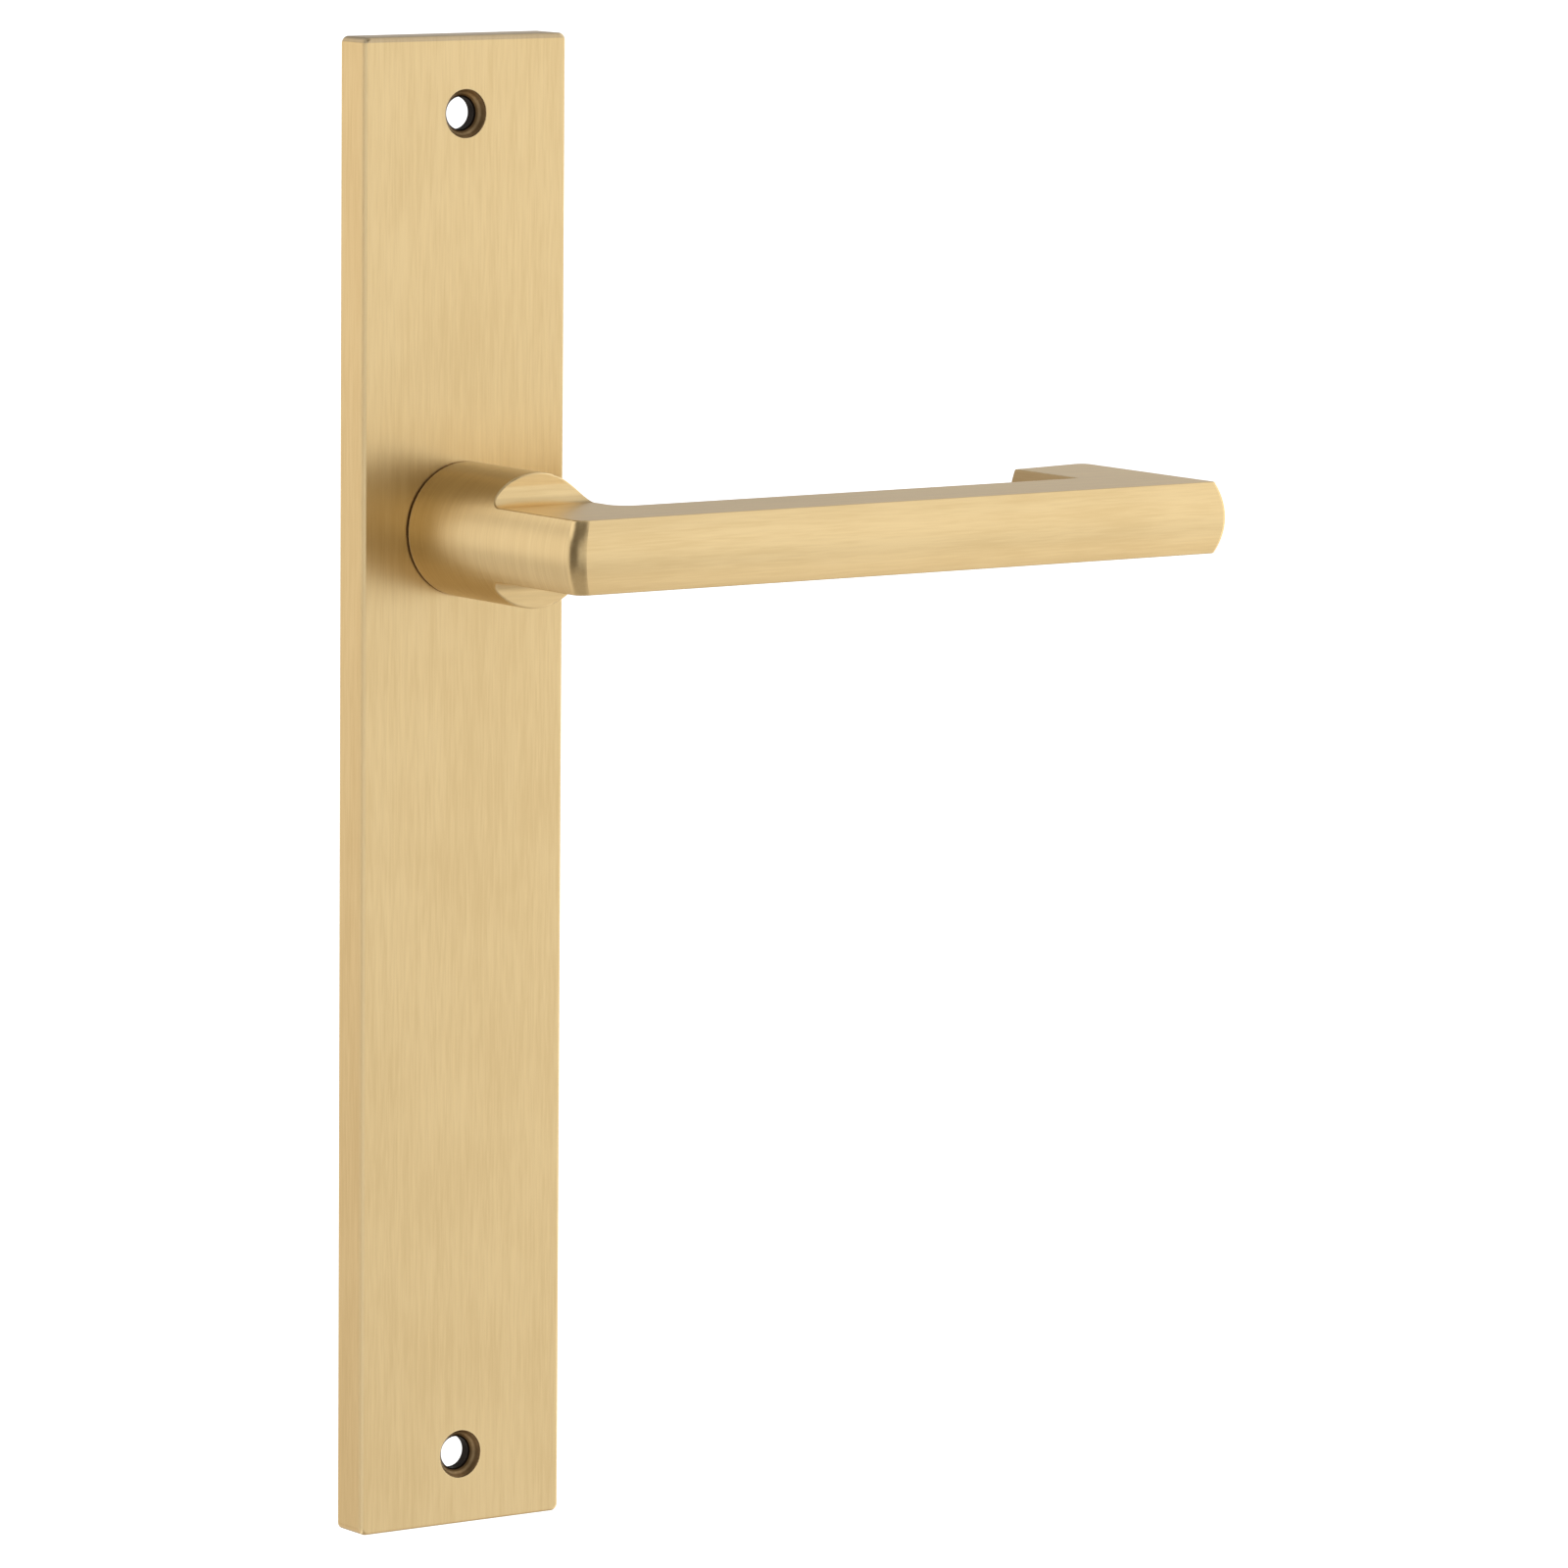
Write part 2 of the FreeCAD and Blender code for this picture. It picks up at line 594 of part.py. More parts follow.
def front_envelope():
    """All that lies behind the lever's convex front."""
    axis = "<grip_round> - <projection>"
    front = rod("front_round", ALONG_X, "<grip_round>", "<lever_length> + <neck_radius>",
                x="-<neck_radius>", y=axis)
    rest = box("front_rest", ("-<neck_radius>", "<lever_length>"), (axis, "0"),
               (f"-<neck_radius> - {SPARE}", f"<neck_radius> + {SPARE}"))
    return fuse("front_envelope", [front, rest])


def side_envelope():
    """All that lies between the neck's outer side and the lever's convex far end."""
    axis = "<lever_length> - <grip_round>"
    length = "<projection>"
    neck = rod("side_neck", ALONG_Y, "<neck_radius>", length, y="-<projection>")
    far = rod("side_far", ALONG_Y, "<grip_round>", length, x=axis, y="-<projection>")
    rest = box("side_rest", ("0", axis), ("-<projection>", "0"),
               (f"-<neck_radius> - {SPARE}", f"<neck_radius> + {SPARE}"))
    return fuse("side_envelope", [neck, far, rest])


def shoulder_tool(name, sign):
    """What is milled off above (or below) the flats, with a hollow foot against the round neck."""
    flat = "<grip_half_height>"
    foot = f"({flat} + <shoulder_radius>)"
    wall = "-<shoulder_from_door>"
    top = f"(<neck_radius> + {SPARE})"
    front = f"-<projection> - {SPARE}"
    x = (f"-<neck_radius> - {SPARE}", f"<lever_length> + {SPARE}")
    low = {1: (flat, top), -1: (f"-{top}", f"-{flat}")}[sign]
    high = {1: (foot, top), -1: (f"-{top}", f"-{foot}")}[sign]
    shallow = box(name + "_flat", x, (front, f"{wall} - <shoulder_radius>"), low)
    deep = box(name + "_wall", x, (front, wall), high)
    centre = foot if sign > 0 else f"-{foot}"
    length = f"({x[1]}) - ({x[0]})"
    hollow_foot = rod(name + "_foot", ALONG_X, "<shoulder_radius>", length,
                      x=x[0], y=f"{wall} - <shoulder_radius>", z=centre)
    return fuse(name, [shallow, deep, hollow_foot])


def slanted_end():
    """What is cut off the return leg so that its end is aslant, nearest to the door outside."""
    tool = doc.addObject("Part::Box", "slanted_end")
    tool.Placement = Placement(Vector(), Rotation(Vector(0, 0, 1), size("return_slant")))
    bind(tool, Length="2 * <grip_depth>", Width="<grip_depth>", Height="2 * <neck_radius>")
    run = "1.5 * <grip_depth>"
    place(tool, f"<lever_length> - {run} * cos(<return_slant> * 1 deg)",
          f"-<return_from_door> - {run} * sin(<return_slant> * 1 deg)", "-<neck_radius>")
    return tool


def make_lever():
    journal_and_socket(rounded_lever(lever_blank()))


def lever_blank():
    neck_length = "<projection> - <plate_thickness> - <neck_gap>"
    neck = rod("neck", ALONG_Y, "<neck_radius>", neck_length, y="-<projection>")
    grip = convex_bar("grip", "-<projection>", "(<grip_depth> - <projection>)",
                      "-<neck_radius>", "<lever_length>", False)
    leg = convex_bar("return_leg", "(<lever_length> - <grip_depth>)", "<lever_length>",
                     "-<projection>", "-<return_from_door>", True)
    rough = fuse("lever_rough", [neck, grip, leg])
    trimmed = common("lever_trimmed", [rough, front_envelope(), side_envelope()])
    shoulders = fuse("shoulders", [shoulder_tool("upper", 1), shoulder_tool("lower", -1)])
    milled = cut("lever_milled", trimmed, shoulders)
    return cut("lever_blank", milled, slanted_end())


def rounded_lever(blank):
    """Round the corners seen from above one after another, then soften the edges of the flats."""
    neck = size("neck_radius")
    front = -size("projection")
    back = size("grip_depth") + front
    far = size("lever_length")
    leg_end = -size("return_from_door")
    flat = size("grip_half_height")
    foot = -size("shoulder_from_door") - size("shoulder_radius")

    def upright_at(x, y):
        """A test for the edges between the flats that lie at this corner, seen from above."""
        bulge = 2.0
        least_height = 0.9 * flat

        def wanted(edge):
            limits = bounds_of(edge)
            in_x = max(abs(limits.XMin - x), abs(limits.XMax - x))
            in_y = max(abs(limits.YMin - y), abs(limits.YMax - y))
            return max(in_x, in_y) < bulge and limits.ZLength > least_height

        return wanted

    def flat_edge(edge):
        return not lies_at(edge, "Y", foot) and (lies_at(edge, "Z", flat) or lies_at(edge, "Z", -flat))

    shape = round_edges("elbow", blank, "elbow_radius", upright_at(-neck, front))
    shape = round_edges("inner_elbow", shape, "elbow_inner_radius", upright_at(neck, back))
    shape = round_edges("far_corner", shape, "far_corner_radius", upright_at(far, front))
    shape = round_edges("leg_end", shape, "return_end_radius", upright_at(far, leg_end))
    return round_edges("soft_flats", shape, "lever_edge_radius", flat_edge)


def journal_and_socket(shaped):
    """Bearing journal, two-flat tang with its ring groove, square socket and grub screw hole."""
    neck_end = LEVELS["neck_end"]
    cam_front = LEVELS["cam_front"]
    journal = rod("journal", ALONG_Y, "<journal_radius>", f"({cam_front}) - ({neck_end}) + {SPARE}",
                  y=f"{neck_end} - {SPARE}")
    tang_start = f"{cam_front} - {SPARE}"
    tang_length = f"<tang_behind_door_face> - ({tang_start})"
    round_tang = rod("round_tang", ALONG_Y, "<tang_radius>", tang_length, y=tang_start)
    flats = box("tang_flats", ("-<tang_half_flat>", "<tang_half_flat>"),
                (tang_start, "<tang_behind_door_face>"), ("-<tang_radius>", "<tang_radius>"))
    tang = common("tang", [round_tang, flats])
    grooved = cut("grooved_tang", tang, clip_groove())
    whole = fuse("lever_whole", [shaped, journal, grooved])
    half = "(<spindle_half> + <fit_gap>)"
    socket = box("spindle_socket", ("-" + half, half),
                 ("-<spindle_depth> - <fit_gap>", f"<tang_behind_door_face> + {SPARE}"),
                 ("-" + half, half))
    grub_hole = rod("grub_hole", ALONG_Z, "<grub_radius> + <thread_gap>", "<neck_radius>",
                    y="-<grub_from_door>", z=f"-<neck_radius> - {SPARE}")
    keep(cut("lever", whole, fuse("lever_holes", [socket, grub_hole])), "lever")


def clip_groove():
    thickness = "<clip_thickness> + 2 * <fit_gap>"
    front = LEVELS["clip_front"] + " - <fit_gap>"
    outside = rod("groove_outside", ALONG_Y, f"<tang_radius> + {SPARE}", thickness, y=front)
    inside = rod("groove_inside", ALONG_Y, "<clip_groove_radius>", thickness, y=front)
    return cut("clip_groove", outside, inside)


def make_spindle():
    length = ("-<spindle_depth>", "<spindle_out>")
    side = ("-<spindle_half>", "<spindle_half>")
    bar = box("spindle_bar", side, length, side)
    doc.recompute()
    chamfer = size("spindle_chamfer")
    end = size("spindle_out")
    lead_in = doc.addObject("Part::Chamfer", "spindle")
    lead_in.Base = bar
    lead_in.Edges = [
        (number, chamfer, chamfer)
        for number, edge in enumerate(bar.Shape.Edges, start=1)
        if lies_at(edge, "Y", end)
    ]
    keep(lead_in, "spindle")


def make_grub_screw():
    low = "-<neck_radius> + <grub_sunk>"
    length = "<neck_radius> - <grub_sunk> - <spindle_half>"
    thread = rod("grub_thread", ALONG_Z, "<grub_radius>", length, y="-<grub_from_door>", z=low)
    socket = hexagon("grub_socket", ALONG_Z, "<grub_socket_radius>", "<grub_socket_depth>",
                     y="-<grub_from_door>", z=low)
    keep(cut("grub_screw", thread, socket), "grub_screw")


def make_cam():
    """Driver: a two-flat hole on the tang, a lug between the stop pins, a pin for the spring."""
    front = LEVELS["cam_front"]
    disc = rod("cam_disc", ALONG_Y, "<cam_radius>", "<cam_thickness>", y=front)
    wedge = doc.addObject("Part::Cylinder", "cam_wedge")
    turned = -size("cam_lug_angle") - size("cam_lug_half_angle")
    wedge.Placement = Placement(Vector(), Rotation(Vector(0, 1, 0), turned).multiply(ALONG_Y))
    bind(wedge, Radius="<cam_lug_radius>", Height="<cam_thickness>", Angle="2 * <cam_lug_half_angle>")
    place(wedge, y=front)
    x, z = polar("<tab_orbit>", "<cam_lug_angle>")
    tab = rod("cam_tab", ALONG_Y, "<tab_radius>", "<cam_thickness> + <tab_length>", x=x, y=front, z=z)
    half = "(<tang_half_flat> + <fit_gap>)"
    hole_round = rod("cam_hole_round", ALONG_Y, "<tang_radius> + <fit_gap>",
                     f"<cam_thickness> + 2 * {SPARE}", y=f"{front} - {SPARE}")
    hole_flats = box("cam_hole_flats", ("-" + half, half),
                     (f"{front} - {SPARE}", f"{front} + <cam_thickness> + {SPARE}"),
                     (f"-<tang_radius> - {SPARE}", f"<tang_radius> + {SPARE}"))
    hole = common("cam_hole", [hole_round, hole_flats])
    keep(cut("drive_cam", fuse("cam_blank", [disc, wedge, tab]), hole), "drive_cam")


def make_clip():
    """Retaining ring in the tang's groove, open towards -X."""
    front = LEVELS["clip_front"]
    ring = rod("clip_outside", ALONG_Y, "<clip_radius>", "<clip_thickness>", y=front)
    bore = rod("clip_inside", ALONG_Y, "<clip_groove_radius> + <fit_gap>",
               f"<clip_thickness> + 2 * {SPARE}", y=f"{front} - {SPARE}")
    half = "<clip_opening> / 2"
    opening = box("clip_mouth", (f"-<clip_radius> - {SPARE}", "0"),
                  (f"{front} - {SPARE}", f"{front} + <clip_thickness> + {SPARE}"), ("-" + half, half))
    keep(cut("retaining_ring", ring, fuse("clip_gap", [bore, opening])), "retaining_ring")


def spring_leg_angle(pin_orbit, pin_radius):
    """Angle between a pin and the point where the leg that touches it leaves the coil."""
    middle = size("spring_coil_radius") + size("spring_wire_radius") + pin_radius + size("fit_gap")
    return math.degrees(math.acos(middle / pin_orbit))


def make_spring():
    """Torsion spring: one leg bears on the driver's pin, the other on the anchor pin."""
    radius = size("spring_coil_radius")
    pitch = size("spring_pitch")
    wire = size("spring_wire_radius")
    leg = size("spring_leg")
    start = size("cam_lug_angle") + spring_leg_angle(size("tab_orbit"), size("tab_radius"))
    anchor = spring_leg_angle(size("anchor_pin_orbit"), size("anchor_pin_radius"))
    end = size("anchor_pin_angle") - anchor
    turns = (end - start) / 360 + 1
    height = pitch * turns
    coil = Part.makeHelix(pitch, height, radius)
    coil.Placement = Placement(Vector(0, 0, size("spring_rear_turn")), Rotation(Vector(0, 0, 1), start))
    coil_edges = coil.Edges
    first = coil_edges[0]
    last = coil_edges[-1]
    inward = first.tangentAt(first.FirstParameter)
    outward = last.tangentAt(last.LastParameter)
    coil_start = first.valueAt(first.FirstParameter)
    coil_end = last.valueAt(last.LastParameter)
    leg_start = coil_start - inward * leg
    leg_end = coil_end + outward * leg
    first_leg = Part.makeLine(leg_start, coil_start)
    last_leg = Part.makeLine(coil_end, leg_end)
    path = Part.Wire([first_leg] + coil_edges + [last_leg])
    section = Part.Wire([Part.makeCircle(wire, leg_start, inward)])
    solid = path.makePipeShell([section], True, True)
    expected = math.pi * wire**2 * path.Length
    if abs(solid.Volume / expected - 1) > WIRE_TOLERANCE:
        raise ValueError("the spring's wire has lost its section")
    spring = doc.addObject("Part::Feature", "return_spring")
    spring.Shape = solid
    spring.Placement = Placement(Vector(), Rotation(Vector(1, 0, 0), 90))
    keep(spring, "return_spring")


# --- build, check, write -----------------------------------------------------------------------


def check_everything():
    for thing in doc.Objects:
        if "Invalid" in thing.State or "Error" in thing.State:
            raise ValueError(f"{thing.Label} failed: {thing.State}")
    for part in parts:
        if part.Shape.isNull() or not part.Shape.isValid():
            raise ValueError(f"{part.Label} has no valid shape")


def write_parts():
    os.makedirs("parts", exist_ok=True)
    for part in parts:
        part.Shape.exportStep(f"parts/{part.Label}.step")
        limits = part.Shape.BoundBox
        print(f"{part.Label}: {len(part.Shape.Solids)} solid(s), {part.Shape.Volume:.1f} mm3, "
              f"x {limits.XMin:.2f}..{limits.XMax:.2f}, y {limits.YMin:.2f}..{limits.YMax:.2f}, "
              f"z {limits.ZMin:.2f}..{limits.ZMax:.2f}")


fill_sheet()
make_backplate()
make_housing()
make_front_bush()
ring_body("gap_ring", "<gap_ring_radius>", "<journal_radius> + <bearing_gap>",
          "-<plate_thickness> - <gap_ring_thickness>", "<gap_ring_thickness>")
make_pins()
make_cover()
make_cover_screws()
ring_body("rear_bush", "<rear_bush_radius>", "<tang_radius> + <bearing_gap>", LEVELS["cover_front"],
          "<cover_thickness>")
make_lever()
make_spindle()
make_grub_screw()
make_cam()
ring_body("rear_washer", "<washer_radius>", "<tang_radius> + <fit_gap>", LEVELS["washer_front"],
          "<washer_thickness>")
ring_body("wave_washer", "<wave_washer_radius>", "<tang_radius> + <fit_gap>", LEVELS["wave_front"],
          "<wave_washer_thickness>")
make_clip()
make_spring()
doc.recompute()
check_everything()
write_parts()
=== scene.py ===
from math import atan, cos, radians, sin

import bmesh
import bpy
from mathutils import Matrix, Vector


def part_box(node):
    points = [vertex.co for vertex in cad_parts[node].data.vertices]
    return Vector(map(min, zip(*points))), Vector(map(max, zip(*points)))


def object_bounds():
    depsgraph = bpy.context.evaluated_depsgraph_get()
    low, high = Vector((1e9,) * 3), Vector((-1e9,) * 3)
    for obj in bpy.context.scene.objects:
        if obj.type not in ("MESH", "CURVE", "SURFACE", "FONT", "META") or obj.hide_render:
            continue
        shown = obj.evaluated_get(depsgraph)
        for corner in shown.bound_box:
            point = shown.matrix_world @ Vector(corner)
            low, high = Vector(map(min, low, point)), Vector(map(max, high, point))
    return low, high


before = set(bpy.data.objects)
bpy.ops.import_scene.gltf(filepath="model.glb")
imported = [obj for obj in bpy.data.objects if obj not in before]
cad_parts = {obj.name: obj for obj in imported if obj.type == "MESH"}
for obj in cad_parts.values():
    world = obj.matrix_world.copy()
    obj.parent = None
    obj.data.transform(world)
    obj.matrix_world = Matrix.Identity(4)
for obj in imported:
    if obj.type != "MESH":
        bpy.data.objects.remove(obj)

CAD_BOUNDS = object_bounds()
MM = 0.001

# --- camera: a long lens from the left and slightly above ---
AZIMUTH = radians(35.0)
ELEVATION = radians(7.5)
ROLL = radians(0.5)
DISTANCE = 1.555
AIM = Vector((0.0674, 0.0, -0.0464))
FIELD_OF_VIEW = 2 * atan(0.083)
CLIP_END = 30.0

# --- floor ---
FLOOR_DROP = 0.34              # from the plate's foot down to the floor
FLOOR_HALF = 14.0
FLOOR_GLOW = 0.80
FLOOR_ROUGHNESS = 0.9
FLOOR_CLOUDS = 3.0
FLOOR_DARK = (0.86, 0.86, 0.86, 1.0)
FLOOR_LIGHT = (0.90, 0.90, 0.90, 1.0)
WHITE = (1.0, 1.0, 1.0, 1.0)

# --- studio light ---
ROOM = (0.160, 0.148, 0.132)   # the unlit room, as the metal mirrors it
# Soft lights: direction of the middle, half widths in degrees (sideways, up), brightness, warmth.
# The direction is counted from the front, positive towards the lever's end.
LIGHTS = (
    (82.0, 9.0, 46.0, 47.0, 1.05, 0.0),      # large one beside the lever's end
    (-2.0, 6.0, 40.0, 18.0, 0.49, 0.0),      # low strip ahead of the plate
    (-156.0, -12.0, 34.0, 36.0, 0.38, 0.3),  # behind, on the plate's side
    (-130.0, 2.0, 14.0, 30.0, 0.36, 0.1),    # narrow one beside the plate
    (-136.0, 36.0, 30.0, 13.0, 0.80, 0.0),   # higher, on the plate's side
    (180.0, 36.0, 26.0, 10.0, 0.38, 0.0),    # high and far behind
    (164.0, 3.0, 50.0, 12.0, 0.57, 0.0),     # behind, low
    (0.0, 90.0, 180.0, 22.0, 0.45, 0.0),     # overhead
    (0.0, -58.0, 180.0, 32.0, 0.30, 0.7),    # light that comes up from the floor
)
WARM = (1.0, 0.88, 0.74)       # colour of a light whose warmth is 1
LIGHT_FADE = 0.45              # part of each half width over which a light fades out
ALL_ROUND = 180.0              # half width of a light that goes right round
FULL_TURN = 360.0

# --- brass ---
BRASS_LIGHT = (0.965, 0.745, 0.402, 1.0)
BRASS_DARK = (0.865, 0.648, 0.330, 1.0)
# edge colour: rubbed brass, painted lighter as a painted highlight
BRASS_EDGE_WEAR_AND_HIGHLIGHT = (1.000, 0.815, 0.480, 1.0)
BRASS_CAST = (0.560, 0.415, 0.215, 1.0)    # the unbrushed hollow back
BRASS_SINK_SHADE = (0.420, 0.270, 0.130, 1.0)    # painted shade inside the screw holes' cones
BRASS_RING_HIGHLIGHT = (0.800, 0.580, 0.320, 1.0)    # a lighter ring in them, a painted highlight
# painted shade: the bores painted near-black
BRASS_BORE_SHADE = (0.022, 0.014, 0.009, 1.0)
SIDE_SHADE = (0.930, 0.900, 0.850, 1.0)     # painted shade: factor that darkens and warms the plate's sides
TOP_SHADE = (0.730, 0.750, 0.870, 1.0)      # painted shade: factor that darkens and cools the plate's upper edge
NECK_TOP_SHADE = (0.660, 0.680, 0.740, 1.0)     # painted shade: factor that darkens the top of the neck
INSIDE_LEG_SHADE = (0.480, 0.440, 0.420, 1.0)   # painted shade: factor that darkens the return leg's inner side

BRUSH_ALONG = 140.0        # noise per metre along the brushing
BRUSH_ACROSS = 2600.0      # and across it
BROAD_STREAKS = 0.28       # scale of the broad streaks, as part of the fine ones'
BROAD_SHARE = 0.45
BRUSH_DEPTH = 0.006 * MM
CLOUDS = 45.0              # soft patches of tone, per metre
STREAK_TONE = 0.75         # how much streaks and clouds tell in the tone
CLOUD_TONE = 0.35
TONE_RANGE = (0.38, 0.72)  # tones of the dark and of the light colour

SATIN = 0.27               # roughness of the brushed faces
STREAK_ROUGH = 0.10        # what a streak adds to it
EDGE_ROUGH = 0.45          # what a rubbed edge adds to it
EDGE_METALLIC = 0.45
EDGE_SHARE = 0.5           # how far an edge that is only handled takes the rubbed edges' lighter colour, partly a painted highlight
ANISOTROPY = 0.25
WEAR_AND_HIGHLIGHT = 0.5 * MM            # width of the rubbed edges, which are also painted lighter as a painted highlight

CAST_PITS = 1500.0         # noise per metre where the brass is left rough
PIT_SHADE = 0.6            # factor on the colour in a pit
PIT_ROUGH = 0.15
PIT_DEPTH = 4.0            # times the depth of the brushing
CAST_ROUGHNESS = 0.45
SINK_ROUGHNESS = 0.36

# --- the plate's edges, holes and hollow, for its masks ---
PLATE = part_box("backplate")
MIDDLE = (PLATE[0].z + PLATE[1].z) / 2
HOLES_MIDDLE = MIDDLE - 0.5 * MM
HOLES_APART = 216.2 * MM
SINK_RADIUS = 3.9 * MM
BORE_RADIUS = 2.6 * MM
BORE_SPREAD = 0.16 * MM    # how far the bore's painted shade reaches up the cone
RING_RADIUS = 3.25 * MM
RING_REACH = 0.28 * MM     # half width of the lighter ring in the cone, a painted highlight
RING_CORE = 0.06 * MM
RIM = 3.0 * MM
HOLLOW_FLOOR = -3.3 * MM
FRONT_EDGE = 0.55 * MM     # radius of the front edge
TOP_BAND = 0.9 * MM
SKIN = 0.02 * MM           # what still counts as the surface itself
FADE = 0.1 * MM            # over which most masks fade out
SINK_FADE = 0.25 * MM      # over which the cone's painted shade grows below the front

# --- the lever's neck and return leg, for its masks ---
NECK_RADIUS = -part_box("lever")[0].x
LEG_STARTS = 80.0 * MM
LEG_FADE = 10.0 * MM

# --- the cover's screws ---
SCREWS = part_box("cover_screws")
SCREW_HEAD = 2.1 * MM
SOCKET = 0.75 * MM
SOCKET_FADE = 0.06 * MM
# painted shade: the sockets' insides painted near-black
SOCKET_SHADE = (0.035, 0.028, 0.020, 1.0)

# --- steel and nylon ---
ZINC_LIGHT, ZINC_DARK = (0.74, 0.75, 0.77, 1.0), (0.58, 0.60, 0.63, 1.0)
YELLOW_LIGHT, YELLOW_DARK = (0.80, 0.70, 0.42, 1.0), (0.64, 0.50, 0.27, 1.0)
HARD_LIGHT, HARD_DARK = (0.44, 0.44, 0.45, 1.0), (0.31, 0.31, 0.32, 1.0)
WIRE_LIGHT, WIRE_DARK = (0.42, 0.42, 0.44, 1.0), (0.25, 0.25, 0.26, 1.0)
OXIDE_LIGHT, OXIDE_DARK = (0.060, 0.058, 0.057, 1.0), (0.030, 0.029, 0.030, 1.0)
BLACK_LOW, BLACK_HIGH = (0.012, 0.012, 0.013, 1.0), (0.026, 0.026, 0.028, 1.0)
BROWN_LOW, BROWN_HIGH = (0.120, 0.075, 0.035, 1.0), (0.170, 0.110, 0.052, 1.0)
PLAIN_GRAIN = 900.0        # noise per metre on rolled and drawn steel
TURNED_GRAIN = 1800.0
WIRE_GRAIN = 1400.0
DRAWN_OUT = 0.08           # the grain's scale along the working, as part of that across it
STEEL_CLOUDS = 220.0
STEEL_TONES = (0.35, 0.68)
STEEL_WEAR = 0.25 * MM
STEEL_WEAR_SHARE = 0.7
STEEL_DEPTH = 0.004 * MM
MOULD_PITS = 2500.0
MOULD_CLOUDS = 160.0
MOULD_WEAR = 0.2 * MM
MOULD_WEAR_SHARE = 0.4
MOULD_ROUGHNESS = (0.42, 0.60)
MOULD_DEPTH = 0.006 * MM


class Graph:
    """A node tree: node gives a new node, put fills a socket, the others give an output."""

    def __init__(self, tree):
        self.tree = tree

    def node(self, kind, *values, **settings):
        made = self.tree.nodes.new("ShaderNode" + kind)
        for name, value in settings.items():
            setattr(made, name, value)
        for socket, value in zip(made.inputs, values):
            self.put(socket, value)
        return made

    def put(self, socket, value):
        if isinstance(value, bpy.types.NodeSocket):
            self.tree.links.new(value, socket)
        elif value is not None:
            socket.default_value = value

    def math(self, operation, *values):
        return self.node("Math", *values, operation=operation).outputs[0]

    def plus(self, a, b):
        return self.math("ADD", a, b)

    def minus(self, a, b):
        return self.math("SUBTRACT", a, b)

    def times(self, a, b):
        return self.math("MULTIPLY", a, b)

    def smaller(self, a, b):
        return self.math("MINIMUM", a, b)

    def absolute(self, a):
        return self.math("ABSOLUTE", a)

    def distance(self, a, b):
        return self.math("SQRT", self.plus(self.times(a, a), self.times(b, b)))

    def vector(self, operation, *values):
        made = self.node("VectorMath", *values, operation=operation)
        return made.outputs["Value" if operation == "DOT_PRODUCT" else "Vector"]

    def split(self, vector):
        return self.node("SeparateXYZ", vector).outputs

    def ramp(self, value, low, high):
        """A soft step from 0 to 1, as value goes from low to high."""
        return self.node("MapRange", value, low, high, interpolation_type="SMOOTHSTEP").outputs[0]

    def mix(self, factor, a, b):
        """Numbers blend."""
        made = self.node("Mix", data_type="FLOAT")
        for name, value in (("Factor", factor), ("A", a), ("B", b)):
            self.put(made.inputs[name], value)
        return made.outputs["Result"]

    def blend(self, factor, a, b, how="MIX"):
        """Colours blend."""
        made = self.node("Mix", data_type="RGBA", blend_type=how)
        for index, value in ((0, factor), (6, a), (7, b)):
            self.put(made.inputs[index], value)
        return made.outputs[2]

    def choose(self, factor, a, b):
        """Directions blend."""
        made = self.node("Mix", data_type="VECTOR")
        for index, value in ((0, factor), (4, a), (5, b)):
            self.put(made.inputs[index], value)
        return made.outputs[1]

    def noise(self, vector, scale=1.0, detail=2.0, rough=0.5):
        made = self.node("TexNoise")
        values = {"Vector": vector, "Scale": scale, "Detail": detail, "Roughness": rough}
        for name, value in values.items():
            self.put(made.inputs[name], value)
        return made.outputs["Fac"]

    def grain(self, place, scale, detail=2.0):
        """Noise drawn out along the axes where scale is small."""
        return self.noise(self.vector("MULTIPLY", place, scale), 1.0, detail, 0.55)


class Finish(Graph):
    """A Principled material, with its place and normal on the object to hand."""

    def __init__(self, name, metallic=1.0, anisotropy=0.0):
        self.material = bpy.data.materials.new(name)
        self.material.use_nodes = True
        super().__init__(self.material.node_tree)
        self.shader = self.tree.nodes["Principled BSDF"]
        self.shader.inputs["Metallic"].default_value = metallic
        self.shader.inputs["Anisotropic"].default_value = anisotropy
        coordinates = self.node("TexCoord")
        self.place = coordinates.outputs["Object"]
        self.normal = coordinates.outputs["Normal"]

    def set(self, name, value):
        self.put(self.shader.inputs[name], value)

    def world_normal(self):
        return self.node("NewGeometry").outputs["Normal"]

    def bump(self, height, depth):
        made = self.node("Bump")
        for name, value in (("Strength", 1.0), ("Distance", depth), ("Height", height)):
            self.put(made.inputs[name], value)
        self.set("Normal", made.outputs["Normal"])

    def edges(self, radius):
        """1 on outer and inner edges, 0 on open faces."""
        rounded = self.node("Bevel", radius, samples=6).outputs[0]
        return self.ramp(self.vector("DOT_PRODUCT", rounded, self.world_normal()), 0.995, 0.93)

    def faces_axis(self, index):
        """1 where the surface faces along X, Y or Z."""
        return self.ramp(self.absolute(self.split(self.normal)[index]), 0.70, 0.78)


def scuffed(colour, factor, lift):
    """A colour's rubbed shade."""
    return tuple(min(1.0, factor * channel + lift) for channel in colour[:3]) + (1.0,)


def drawn_scale(across, along_scale, along):
    """Noise scale on each axis, for brushing along some of them."""
    return tuple(along_scale if axis in along else across for axis in "xyz")


def brushed(finish, along):
    """Fine scratches over broader, fainter streaks."""
    scale = drawn_scale(BRUSH_ACROSS, BRUSH_ALONG, along)
    fine = finish.grain(finish.place, scale)
    broad = finish.grain(finish.place, [BROAD_STREAKS * s for s in scale], detail=3.0)
    return finish.mix(BROAD_SHARE, fine, broad)


